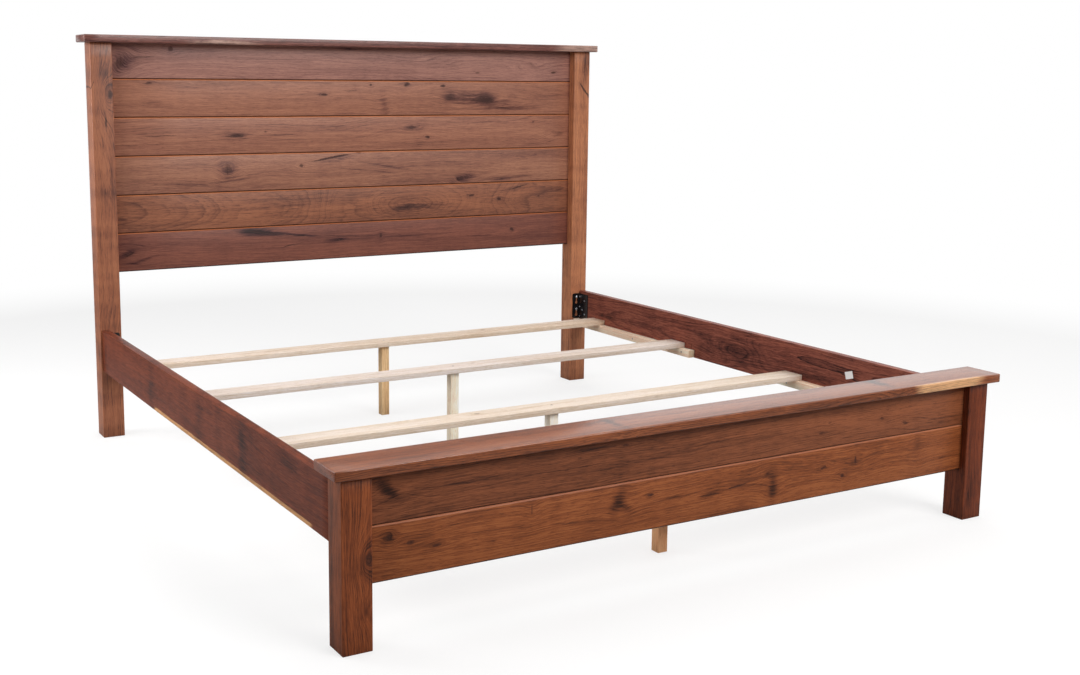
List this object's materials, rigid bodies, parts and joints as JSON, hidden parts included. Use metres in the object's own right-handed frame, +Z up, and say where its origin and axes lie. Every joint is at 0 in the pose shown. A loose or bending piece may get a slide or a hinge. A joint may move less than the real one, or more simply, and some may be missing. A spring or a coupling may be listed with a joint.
{
  "type": "wooden bed frame",
  "caption": "Walnut bed frame with a tall plank headboard, low plank footboard, hooked side rails and loose cross slats on centre legs.",
  "frame": {"origin": "on the floor, in the middle of the frame's footprint", "axes": "+Z up, +Y towards the headboard, +X to the right as seen from the foot end"},
  "size_m": [2.148, 2.285, 1.448],
  "materials": {
    "walnut_headboard_posts": "satin clear-coated knotty walnut, vertical grain",
    "walnut_headboard_planks": "satin clear-coated knotty walnut, horizontal grain",
    "walnut_footboard_posts": "satin clear-coated knotty walnut, vertical grain",
    "walnut_footboard_planks": "satin clear-coated knotty walnut, horizontal grain",
    "walnut_caps": "satin clear-coated walnut with a sapwood streak",
    "walnut_rails": "satin clear-coated walnut",
    "poplar_ledgers": "sanded, unfinished pale wood",
    "poplar_slats": "sanded, unfinished pale wood",
    "poplar_legs": "sanded, unfinished pale wood",
    "black_steel": "black coated steel plate",
    "zinc_bolts": "bright zinc plated",
    "screw_steel": "dull zinc plated",
    "beech_dowels": "plain beech",
    "label_paper": "blank white paper sticker"
  },
  "bodies": {
    "bed_frame": {"bolt_foot_left_lower": "zinc_bolts", "bolt_foot_left_upper": "zinc_bolts", "bolt_foot_right_lower": "zinc_bolts", "bolt_foot_right_upper": "zinc_bolts", "bolt_head_left_lower": "zinc_bolts", "bolt_head_left_upper": "zinc_bolts", "bolt_head_right_lower": "zinc_bolts", "bolt_head_right_upper": "zinc_bolts", "bracket_foot_left": "black_steel", "bracket_foot_right": "black_steel", "bracket_head_left": "black_steel", "bracket_head_right": "black_steel", "bracket_screw_foot_left_lower": "screw_steel", "bracket_screw_foot_left_upper": "screw_steel", "bracket_screw_foot_right_lower": "screw_steel", "bracket_screw_foot_right_upper": "screw_steel", "bracket_screw_head_left_lower": "screw_steel", "bracket_screw_head_left_upper": "screw_steel", "bracket_screw_head_right_lower": "screw_steel", "bracket_screw_head_right_upper": "screw_steel", "footboard_cap": "walnut_caps", "footboard_cap_dowel_left": "beech_dowels", "footboard_cap_dowel_right": "beech_dowels", "footboard_plank_lower": "walnut_footboard_planks", "footboard_plank_upper": "walnut_footboard_planks", "footboard_post_left": "walnut_footboard_posts", "footboard_post_right": "walnut_footboard_posts", "headboard_cap": "walnut_caps", "headboard_cap_dowel_left": "beech_dowels", "headboard_cap_dowel_right": "beech_dowels", "headboard_plank_1": "walnut_headboard_planks", "headboard_plank_2": "walnut_headboard_planks", "headboard_plank_3": "walnut_headboard_planks", "headboard_plank_4": "walnut_headboard_planks", "headboard_plank_5": "walnut_headboard_planks", "headboard_plank_6": "walnut_headboard_planks", "headboard_post_left": "walnut_headboard_posts", "headboard_post_right": "walnut_headboard_posts", "ledger_left_foot": "poplar_ledgers", "ledger_left_head": "poplar_ledgers", "ledger_right_foot": "poplar_ledgers", "ledger_right_head": "poplar_ledgers", "rail_label": "label_paper", "side_rail_left": "walnut_rails", "side_rail_right": "walnut_rails"},
    "slat_1": {"slat_1": "poplar_slats", "slat_1_leg": "poplar_legs", "slat_1_leg_screw": "screw_steel"},
    "slat_2": {"slat_2": "poplar_slats", "slat_2_leg": "poplar_legs", "slat_2_leg_screw": "screw_steel"},
    "slat_3": {"slat_3": "poplar_slats", "slat_3_leg": "poplar_legs", "slat_3_leg_screw": "screw_steel"},
    "slat_4": {"slat_4": "poplar_slats", "slat_4_leg": "poplar_legs", "slat_4_leg_screw": "screw_steel"}
  },
  "joints": [
    {"name": "slat_1_lift", "type": "slide", "parent": "bed_frame", "child": "slat_1", "axis": [0, 0, 1], "range_m": [0, 0.3]},
    {"name": "slat_2_lift", "type": "slide", "parent": "bed_frame", "child": "slat_2", "axis": [0, 0, 1], "range_m": [0, 0.3]},
    {"name": "slat_3_lift", "type": "slide", "parent": "bed_frame", "child": "slat_3", "axis": [0, 0, 1], "range_m": [0, 0.3]},
    {"name": "slat_4_lift", "type": "slide", "parent": "bed_frame", "child": "slat_4", "axis": [0, 0, 1], "range_m": [0, 0.3]}
  ]
}
